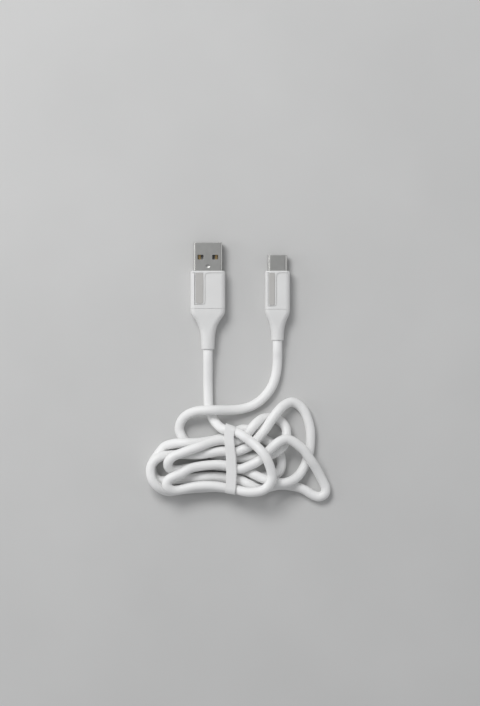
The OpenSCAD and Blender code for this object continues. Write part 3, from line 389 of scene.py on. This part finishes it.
def groove_cutter(plug):
    """The fine groove at the foot of the step round the sunk part of the face."""
    left, right, length = plug["field"]
    strip = plug["strip"]
    wide = plug["size"][0] / 2 + PAST
    top = plug["size"][1] / 2
    inner = GROOVE - GROOVE_BITE
    line = [(-wide, inner - strip), (inner - left, inner - strip), (inner - left, inner - length)]
    line += arc((-right - FIELD_R, FIELD_R - length), FIELD_R - inner, -90, 0)
    line += arc((FIELD_R - right, -strip - FIELD_R), FIELD_R + inner, 180, 90)
    line += [(wide, inner - strip)]
    return ribbon("groove", line, GROOVE, top - FIELD_DEPTH - GROOVE_DEPTH, top + PAST)


def inlay_outline(plug, gap, edge=0):
    """Outline of the inlay, grown by a gap, with its left side set in by edge."""
    left, set_back, wide, length = plug["inlay"]
    x0 = left - gap + edge
    x1 = left + wide + gap
    y0 = -set_back + gap
    y1 = -set_back - length - gap
    far_r = wide / 4 + gap
    near_r = 0.25
    outline = arc((x0 + far_r, y1 + far_r), far_r, 180, 270)
    outline += arc((x1 - far_r, y1 + far_r), far_r, 270, 360)
    outline += arc((x1 - near_r, y0 - near_r), near_r, 0, 90, steps=4)
    outline += arc((x0 + near_r, y0 - near_r), near_r, 90, 180, steps=4)
    return outline


def make_housing(plug):
    """Hard moulded body with its stepped front edge, sunk face and inlay pocket."""
    size = plug["size"]
    radius = plug["radius"]
    length = plug["length"]
    top = size[1] / 2
    # A rounded edge: its radius, and how far its middle lies inside the two faces that it joins
    edge = 0.2
    edge_mid = 0.06
    # More rings on the long sides, so far from their ends and in the middle, keep the shading even
    collar = 2
    profile = [(0, LIP_H + edge), (-edge_mid, LIP_H + edge_mid), (-edge, LIP_H),
               (-LIP_L, LIP_H), (-LIP_L, edge), (-LIP_L - edge_mid, edge_mid),
               (-LIP_L - edge, 0), (-collar, 0), (-length / 2, 0), (-length + collar, 0),
               (-length + SEAM, 0), (-length + SEAM, SEAM_DEPTH), (-length, SEAM_DEPTH)]
    rings = [rounded_ring((size[0] - 2 * d, size[1] - 2 * d), radius - d, y) for y, d in profile]
    hole = [rounded_ring([s + 2 * FIT for s in plug["shell"]], plug["shell_r"] + FIT, y)
            for y in (PAST, -HOLE_DEPTH)]
    pocket = top - FIELD_DEPTH - POCKET_DEPTH
    mesh = cut(loft("housing", rings), [
        face_cutter(plug),
        groove_cutter(plug),
        prism("pocket", inlay_outline(plug, INLAY_GAP), pocket, top + PAST),
        loft("shell_hole", hole)])
    soften(mesh, width=0.05)
    new_piece("housing_" + plug["name"], mesh, plug["place"], "housing_white",
              ["usb_" + plug["name"] + "_housing"])


def make_inlay(plug):
    """Grey strip let into the pocket, its edges rounded off."""
    base = plug["size"][1] / 2 - FIELD_DEPTH - POCKET_DEPTH
    outline = inlay_outline(plug, -INLAY_GAP, INLAY_EDGE)
    mesh = soften(prism("inlay", outline, base, base + INLAY_T), width=0.08, segments=3)
    new_piece("inlay_" + plug["name"], mesh, plug["place"], "inlay_grey",
              ["usb_" + plug["name"] + "_inlay"])


def smooth_profile(points, steps=6):
    """More points on the smooth curve through a profile's points (a Catmull-Rom spline)."""
    out = []
    last = len(points) - 1
    for i in range(last):
        p0, p1, p2, p3 = (Vector(points[min(max(j, 0), last)]) for j in range(i - 1, i + 3))
        for k in range(steps):
            t = k / steps
            out.append(0.5 * (2 * p1 + (p2 - p0) * t + (2 * p0 - 5 * p1 + 4 * p2 - p3) * t * t
                              + (3 * p1 - p0 - 3 * p2 + p3) * t ** 3))
    return out + [Vector(points[last])]


def make_relief(plug):
    """Soft tail that narrows from the housing to a rounded end round the cord."""
    size = plug["size"]
    end_d = plug["relief_d"]
    start = -plug["length"]
    chamfer = 0.05
    end_r = 0.3
    reach = plug["relief_l"] - end_r
    neck = [s - 2 * SEAM_DEPTH for s in size]
    neck_r = plug["radius"] - SEAM_DEPTH
    shoulder = [s - 2 * chamfer for s in size]
    rings = [rounded_ring(neck, neck_r, start),
             rounded_ring(neck, neck_r, start - SEAM),
             rounded_ring(shoulder, plug["radius"] - chamfer, start - SEAM),
             rounded_ring(size, plug["radius"], start - SEAM - chamfer)]
    for share, wide in smooth_profile(plug["relief"])[1:]:
        wide = min(max(wide, 0), 1)
        section = [end_d + (s - end_d) * wide for s in size]
        radius = plug["radius"] * wide + end_d / 2 * (1 - wide)
        rings.append(rounded_ring(section, radius, start - 2 * SEAM - (reach - 2 * SEAM) * share))
    for turn in (30, 60, 90):
        d = end_d - 2 * end_r * (1 - cos(radians(turn)))
        rings.append(rounded_ring((d, d), d / 2, start - reach - end_r * sin(radians(turn))))
    bore = CORD_D + 2 * FIT
    end = start - plug["relief_l"]
    rings.append(rounded_ring((bore, bore), bore / 2, end))
    rings.append(rounded_ring((bore, bore), bore / 2, end + HOLE_DEPTH))
    new_piece("relief_" + plug["name"], loft("relief", rings), plug["place"], "relief_white",
              ["usb_" + plug["name"] + "_strain_relief"], sharp_angle=60)


def shell_mesh(plug):
    """Drawn sheet tube, open at both ends, with a rounded rim at the tip."""
    size = plug["shell"]
    sheet = plug["shell_t"]
    tip = plug["shell_out"]
    back = -plug["shell_in"]
    half = sheet / 2
    least_r = 0.02
    rim = []
    for turn in range(0, 181, 30):
        inset = half - half * cos(radians(turn))
        y = tip - half + half * sin(radians(turn))
        rim.append((inset, y))
    rings = []
    for inset, y in [(0, back), (0, 0), *rim, (sheet, 0), (sheet, back)]:
        section = [s - 2 * inset for s in size]
        rings.append(rounded_ring(section, max(plug["shell_r"] - inset, least_r), y))
    return loft("shell", rings, closed=True)


def window_cutter(side):
    """A window with rounded corners, through both broad sides of the shell."""
    half_x = WINDOW[0] / 2
    half_y = WINDOW[1] / 2
    x = side * WINDOW_PITCH / 2
    radius = 0.3
    reach = 4
    outline = []
    for sx, sy, turn in ((1, 1, 0), (-1, 1, 90), (-1, -1, 180), (1, -1, 270)):
        centre = (x + sx * (half_x - radius), WINDOW_Y + sy * (half_y - radius))
        outline += arc(centre, radius, turn, turn + 90, steps=5)
    return prism("window", outline, -reach, reach)


def dimple_cutter(plug):
    """A ball spread in plan, which leaves an oval dimple in the top side of the shell."""
    work = bmesh.new()
    bmesh.ops.create_uvsphere(work, u_segments=40, v_segments=24, radius=DIMPLE_R)
    bmesh.ops.scale(work, verts=work.verts, vec=DIMPLE_SPREAD)
    height = plug["shell"][1] / 2 + DIMPLE_R * cos(radians(DIMPLE_ANGLE))
    bmesh.ops.translate(work, verts=work.verts, vec=(0, DIMPLE_Y, height))
    mesh = bpy.data.meshes.new("dimple")
    work.to_mesh(mesh)
    work.free()
    return mesh


def seam_cutter(plug):
    """The closed joint of the sheet on the under side, with two dovetails."""
    low = -plug["shell"][1] / 2
    half_w = 0.04
    depth = 0.13
    below = 0.5
    line = ((0, -5.5), (0, 2.2), (-0.8, 2.0), (-0.8, 3.6), (0, 3.4), (0, 7.6), (0.8, 7.4),
            (0.8, 9.0), (0, 8.8), (0, 11.0))
    return ribbon("seam", line, half_w, low - below, low + depth)


def make_shell_a(plug):
    """Steel shell of the USB-A plug, with its windows, its dimple and the joint of its sheet."""
    tools = [window_cutter(-1), window_cutter(1), dimple_cutter(plug), seam_cutter(plug)]
    mesh = cut(shell_mesh(plug), tools)
    new_piece("shell_a", soften(mesh, width=0.06), plug["place"], "steel",
              ["usb_a_shell"], sharp_angle=40)


def make_shell_c(plug):
    """Steel shell of the USB-C plug, drawn without a joint."""
    new_piece("shell_c", shell_mesh(plug), plug["place"], "steel",
              ["usb_c_shell"], sharp_angle=60)


def make_plug(plug):
    """What the two plugs have alike."""
    make_housing(plug)
    make_inlay(plug)
    make_relief(plug)


# ---- Materials ----

# Blender's noise lies between these two values nearly everywhere
NOISE_LOW = 0.3
NOISE_HIGH = 0.7


class Surface:
    """A principled material with its nodes laid out from small procedural parts."""

    def __init__(self, name, roughness, metallic=0.0, **sockets):
        self.material = bpy.data.materials.new(LOOK + name)
        self.material.use_nodes = True
        self.nodes = self.material.node_tree.nodes
        self.links = self.material.node_tree.links
        self.shader = self.nodes["Principled BSDF"]
        self.shader.inputs["Metallic"].default_value = metallic
        self.shader.inputs["Roughness"].default_value = roughness
        for socket, value in sockets.items():
            self.shader.inputs[socket.replace("_", " ")].default_value = value
        self.place = self.nodes.new("ShaderNodeTexCoord").outputs["Object"]
        self.height = None

    def noise(self, size, detail=2.0, stretch=(1, 1, 1)):
        """Noise with features about size millimetres across, longer along a stretched axis."""
        mapping = self.nodes.new("ShaderNodeMapping")
        mapping.inputs["Scale"].default_value = [1 / (size * MM * s) for s in stretch]
        self.links.new(self.place, mapping.inputs["Vector"])
        noise = self.nodes.new("ShaderNodeTexNoise")
        noise.inputs["Scale"].default_value = 1.0
        noise.inputs["Detail"].default_value = detail
        self.links.new(mapping.outputs["Vector"], noise.inputs["Vector"])
        return noise.outputs["Fac"]

    def colour(self, fac, low, high):
        """Base colour from low to high with the noise."""
        ramp = self.nodes.new("ShaderNodeValToRGB")
        ramp.color_ramp.elements[0].position = NOISE_LOW
        ramp.color_ramp.elements[1].position = NOISE_HIGH
        ramp.color_ramp.elements[0].color = (*low, 1)
        ramp.color_ramp.elements[1].color = (*high, 1)
        self.links.new(fac, ramp.inputs["Fac"])
        self.links.new(ramp.outputs["Color"], self.shader.inputs["Base Color"])

    def rough(self, fac, low, high):
        """Roughness from low to high with the noise."""
        spread = self.nodes.new("ShaderNodeMapRange")
        spread.inputs["From Min"].default_value = NOISE_LOW
        spread.inputs["From Max"].default_value = NOISE_HIGH
        spread.inputs["To Min"].default_value = low
        spread.inputs["To Max"].default_value = high
        self.links.new(fac, spread.inputs["Value"])
        self.links.new(spread.outputs["Result"], self.shader.inputs["Roughness"])

    def bump(self, fac, depth):
        """Relief of the surface, depth in millimetres, on top of what is there."""
        bump = self.nodes.new("ShaderNodeBump")
        bump.inputs["Strength"].default_value = 1.0
        bump.inputs["Distance"].default_value = depth * MM
        self.links.new(fac, bump.inputs["Height"])
        if self.height:
            self.links.new(self.height, bump.inputs["Normal"])
        self.height = bump.outputs["Normal"]
        self.links.new(self.height, self.shader.inputs["Normal"])


def moulded(name, low, high, grain=0.25, depth=0.012, rough=(0.42, 0.55)):
    """Matte moulded plastic: slow change of tone and a fine spark-eroded grain."""
    surface = Surface(name, roughness=rough[0])
    surface.colour(surface.noise(size=9, detail=3), low, high)
    surface.rough(surface.noise(size=1.6), *rough)
    surface.bump(surface.noise(grain, detail=3), depth)


def jacket_white():
    """Extruded cord jacket: faint waviness, a fine skin and a soft sheen."""
    surface = Surface("jacket_white", roughness=0.45, Sheen_Weight=0.08)
    surface.colour(surface.noise(size=14, detail=3), (0.88, 0.88, 0.875), (0.92, 0.92, 0.915))
    surface.rough(surface.noise(size=3.0), 0.4, 0.52)
    surface.bump(surface.noise(size=5.0), depth=0.03)
    surface.bump(surface.noise(size=0.3, detail=3), depth=0.006)


def plated_steel(name, low, high, rough):
    """Nickel plated sheet steel, drawn along Y."""
    surface = Surface(name, roughness=rough[0], metallic=1.0)
    surface.colour(surface.noise(size=2.5, detail=4), low, high)
    surface.rough(surface.noise(size=0.7, detail=4, stretch=(0.35, 3.0, 0.35)), *rough)
    surface.bump(surface.noise(size=0.12, detail=2, stretch=(0.5, 14.0, 0.5)), depth=0.002)


def gold():
    """Gold plating of the contacts, drawn along Y."""
    surface = Surface("gold", roughness=0.24, metallic=1.0)
    surface.colour(surface.noise(size=0.8, detail=3), (0.52, 0.37, 0.17), (0.66, 0.48, 0.24))
    surface.rough(surface.noise(size=0.4), 0.2, 0.34)
    surface.bump(surface.noise(size=0.15, stretch=(1, 8, 1)), depth=0.003)


def circuit_green():
    """Glossy, slightly uneven lacquer of the circuit board."""
    surface = Surface("circuit_green", roughness=0.25, Coat_Weight=0.4)
    surface.colour(surface.noise(size=1.2, detail=3), (0.02, 0.17, 0.07), (0.04, 0.27, 0.12))
    surface.rough(surface.noise(size=0.5), 0.2, 0.35)
    surface.bump(surface.noise(size=0.5), depth=0.01)


def band_white():
    """Satin strip: fibres along its length and soft creases across it."""
    surface = Surface("band_white", roughness=0.4)
    tone = surface.noise(size=4, detail=4, stretch=(1, 3, 1))
    surface.colour(tone, (0.84, 0.84, 0.835), (0.88, 0.88, 0.875))
    surface.rough(surface.noise(size=1.0, stretch=(0.5, 3, 1)), 0.36, 0.5)
    surface.bump(surface.noise(size=0.35, detail=3, stretch=(0.6, 5, 1)), depth=0.01)
    surface.bump(surface.noise(size=2.5, stretch=(3, 0.8, 1)), depth=0.03)


def make_materials():
    """Every material of the part. Colours are linear, from low to high."""
    moulded("housing_white", (0.76, 0.76, 0.755), (0.79, 0.79, 0.785))
    moulded("relief_white", (0.76, 0.76, 0.755), (0.79, 0.79, 0.785),
            grain=0.4, depth=0.008, rough=(0.46, 0.6))
    moulded("inlay_grey", (0.50, 0.49, 0.475), (0.53, 0.52, 0.505), grain=0.35)
    moulded("mould_ivory", (0.66, 0.65, 0.6), (0.74, 0.73, 0.68), rough=(0.3, 0.45))
    moulded("insulator_dark", (0.25, 0.25, 0.25), (0.34, 0.34, 0.335), rough=(0.35, 0.5))
    moulded("wire_red", (0.5, 0.03, 0.02), (0.62, 0.05, 0.035), rough=(0.3, 0.42))
    moulded("wire_white", (0.76, 0.76, 0.74), (0.84, 0.84, 0.82), rough=(0.3, 0.42))
    moulded("wire_green", (0.02, 0.3, 0.08), (0.04, 0.4, 0.12), rough=(0.3, 0.42))
    moulded("wire_black", (0.02, 0.02, 0.02), (0.05, 0.05, 0.05), rough=(0.3, 0.42))
    moulded("resistor_black", (0.03, 0.03, 0.03), (0.06, 0.06, 0.06), rough=(0.4, 0.6))
    plated_steel("steel", (0.49, 0.49, 0.475), (0.52, 0.52, 0.505), rough=(0.33, 0.38))
    plated_steel("spring_steel", (0.55, 0.54, 0.5), (0.66, 0.65, 0.61), rough=(0.25, 0.36))
    jacket_white()
    band_white()
    gold()
    circuit_green()


# The CAD nodes that no piece replaces, by material
NODE_MATERIALS = {
    "steel": ["usb_a_crimp_ring", "usb_c_crimp_ring"],
    "spring_steel": ["usb_c_left_latch", "usb_c_right_latch", "usb_c_emi_spring_top",
                     "usb_c_emi_spring_bottom"],
    "insulator_dark": ["usb_a_tongue", "usb_c_contact_carrier"],
    "gold": ["usb_a_contact_vbus", "usb_a_contact_d_minus", "usb_a_contact_d_plus",
             "usb_a_contact_gnd", "usb_c_upper_contacts", "usb_c_lower_contacts"],
    "wire_red": ["usb_a_wire_red", "usb_c_wire_red"],
    "wire_white": ["usb_a_wire_white", "usb_c_wire_white"],
    "wire_green": ["usb_a_wire_green", "usb_c_wire_green"],
    "wire_black": ["usb_a_wire_black", "usb_c_wire_black"],
    "mould_ivory": ["usb_a_inner_mould", "usb_c_inner_mould"],
    "jacket_white": ["cord_a_end", "cord_c_end"],
    "circuit_green": ["usb_c_circuit_board"],
    "resistor_black": ["usb_c_resistor"],
}


def dress_nodes():
    """Give every CAD node in the table its material."""
    for material, nodes in NODE_MATERIALS.items():
        for node in nodes:
            coat(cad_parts[node].data, material)


# ---- Cord ----

def make_cord():
    """One unbroken cord through the route, with both ends inside the strain reliefs."""
    inside = [(x, y + INSIDE_RELIEF, z) for x, y, z in (ROUTE_MM[0], ROUTE_MM[-1])]
    points = [mm(*p) for p in [inside[0], *ROUTE_MM, inside[1]]]
    last = len(points) - 1
    curve = bpy.data.curves.new("cord", "CURVE")
    curve.dimensions = "3D"
    spline = curve.splines.new("BEZIER")
    spline.bezier_points.add(last)
    for i, knot in enumerate(spline.bezier_points):
        # A sixth of the way between its neighbours, for the kind of curve that part.scad draws
        pull = (points[min(i + 1, last)] - points[max(i - 1, 0)]) / 6
        knot.handle_left_type = "FREE"
        knot.handle_right_type = "FREE"
        knot.co = points[i]
        knot.handle_left = points[i] - pull
        knot.handle_right = points[i] + pull
    curve.resolution_u = 8
    curve.bevel_depth = CORD_D / 2 * MM
    curve.bevel_resolution = 7
    curve.use_fill_caps = True
    coat(curve, "jacket_white")
    cord = placed("charging_cord", curve)
    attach(cord, BODY)
    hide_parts("cord_a_lead", "cord_bundle", "cord_c_lead")
    return cord


# ---- Tie band ----

def band_path():
    """The strip's middle line in Y and Z with its outward direction, once round and then lapped
    over its start, and the number of the point where the lap begins."""
    reach = BAND_R + BAND_T / 2
    near = BAND_NEAR - BAND_R
    far = BAND_FAR + BAND_R
    low = BAND_T + BAND_R
    high = BAND_T + BAND_H - BAND_R
    path = []

    def straight(start, end, out, count):
        """Points from start to short of end, with one outward direction."""
        for k in range(count):
            t = k / count
            y = start[0] + (end[0] - start[0]) * t
            z = start[1] + (end[1] - start[1]) * t
            path.append((y, z, *out))

    def corner(y, z, first, count=9, total=90):
        """Points on a turn of so many degrees about a centre, from an angle on."""
        for k in range(count):
            turn = radians(first + total * k / count)
            path.append((y + reach * cos(turn), z + reach * sin(turn), cos(turn), sin(turn)))

    top = high + reach
    straight((near - BAND_START, top), (far, top), (0, 1), count=30)
    corner(far, high, 90)
    straight((far - reach, high), (far - reach, low), (-1, 0), count=8)
    corner(far, low, 180)
    straight((far, BAND_T / 2), (near, BAND_T / 2), (0, -1), count=30)
    corner(near, low, 270)
    straight((near + reach, low), (near + reach, high), (1, 0), count=8)
    corner(near, high, 0)
    lap = len(path)
    straight((near, top), (far, top), (0, 1), count=36)
    corner(far, high, 90, count=6, total=60)
    return path, lap


def band_share(y):
    """Share of the way along the band, from its near end at 0 to its far end at 1."""
    return min(max((BAND_NEAR - y) / (BAND_NEAR - BAND_FAR), 0), 1)


def band_bow(y):
    """How far the strip leans aside at y, on the smooth line through BAND_LEAN."""
    share = band_share(y)
    line = smooth_profile(BAND_LEAN)
    for here, there in zip(line, line[1:]):
        if share <= there[0]:
            return here[1] + (there[1] - here[1]) * (share - here[0]) / (there[0] - here[0])
    return line[-1][1]


def band_slant(side, y):
    """Shift along Y at side -1 (left edge) to 1 (right edge), as the strip isn't wound square."""
    share = band_share(y)
    return FAR_SLANT * share * (1 - side) - NEAR_SLANT * (1 - share) * (1 + side)


def make_tie_band():
    """Flat strip wound round the gathered strands, its end lapped over its start."""
    path, lap = band_path()
    half_w = BAND_W / 2
    half_t = BAND_T / 2
    bevel = 0.12
    section = [
        (-half_w, -half_t + bevel), (-half_w + bevel, -half_t), (half_w - bevel, -half_t),
        (half_w, -half_t + bevel), (half_w, half_t - bevel), (half_w - bevel, half_t),
        (-half_w + bevel, half_t), (-half_w, half_t - bevel)]
    rings = []
    for i, (y, z, out_y, out_z) in enumerate(path):
        outer = min(max((i - lap) / LAP_RISE, 0), 1)
        # The under side begins where the strip faces 30 degrees downward
        underside = out_z <= -0.5
        lean = band_bow(y) * (UNDERSIDE_LEAN if underside else 1)
        x = BAND_X + lean + UNDER_SHIFT * (1 - outer)
        rings.append([
            (x + u, y + band_slant(u / half_w, y) + (v + BAND_T * outer) * out_y,
             z + (v + BAND_T * outer) * out_z)
            for u, v in section])
    return new_piece("tie_strip", loft("tie_strip", rings), (0, 0, 0), "band_white",
                     ["tie_band"], sharp_angle=60)


# ---- Stage ----

def make_floor():
    """Plain grey floor, just below the part."""
    half_width = 1.5
    drop_mm = 0.05
    surface = Surface("floor", roughness=0.6)
    surface.colour(surface.noise(size=60, detail=3), (0.60, 0.60, 0.595), (0.63, 0.63, 0.625))
    surface.bump(surface.noise(size=1.5, detail=3), depth=0.02)
    mesh = bpy.data.meshes.new("floor")
    work = bmesh.new()
    bmesh.ops.create_grid(work, x_segments=8, y_segments=8, size=half_width)
    work.to_mesh(mesh)
    work.free()
    coat(mesh, "floor")
    floor = placed("floor", mesh)
    floor.location.z = -drop_mm * MM


def make_light(name, place, size, watts):
    """A soft light at a place in metres, turned to the middle of the cable."""
    middle = Vector((0, -0.03, 0))
    data = bpy.data.lights.new(name, "AREA")
    data.shape = "RECTANGLE"
    data.size, data.size_y = size
    data.energy = watts
    light = placed(name, data)
    light.location = place
    aim = middle - Vector(place)
    light.rotation_euler = aim.to_track_quat("-Z", "Y").to_euler()


def make_lights():
    """Key light from the upper left, a weak light at each side, and a pale sky."""
    make_light("key", place=(-0.34, 0.46, 0.74), size=(0.5, 0.4), watts=5.2)
    make_light("left", place=(-0.7, 0.0, 0.22), size=(0.25, 0.6), watts=1.0)
    make_light("right", place=(0.7, 0.0, 0.22), size=(0.25, 0.6), watts=0.55)
    world = bpy.data.worlds.new("studio")
    world.use_nodes = True
    background = world.node_tree.nodes["Background"]
    background.inputs["Color"].default_value = (0.97, 0.98, 1.0, 1)
    background.inputs["Strength"].default_value = 0.33
    bpy.context.scene.world = world
    bpy.context.scene.view_settings.view_transform = "Standard"


def main():
    """Everything that the frame shows, dressed and lit."""
    make_camera()
    make_materials()
    dress_nodes()
    cord = make_cord()
    band = make_tie_band()
    for plug in (PLUG_A, PLUG_C):
        make_plug(plug)
    make_shell_a(PLUG_A)
    make_shell_c(PLUG_C)
    make_floor()
    make_lights()


main()
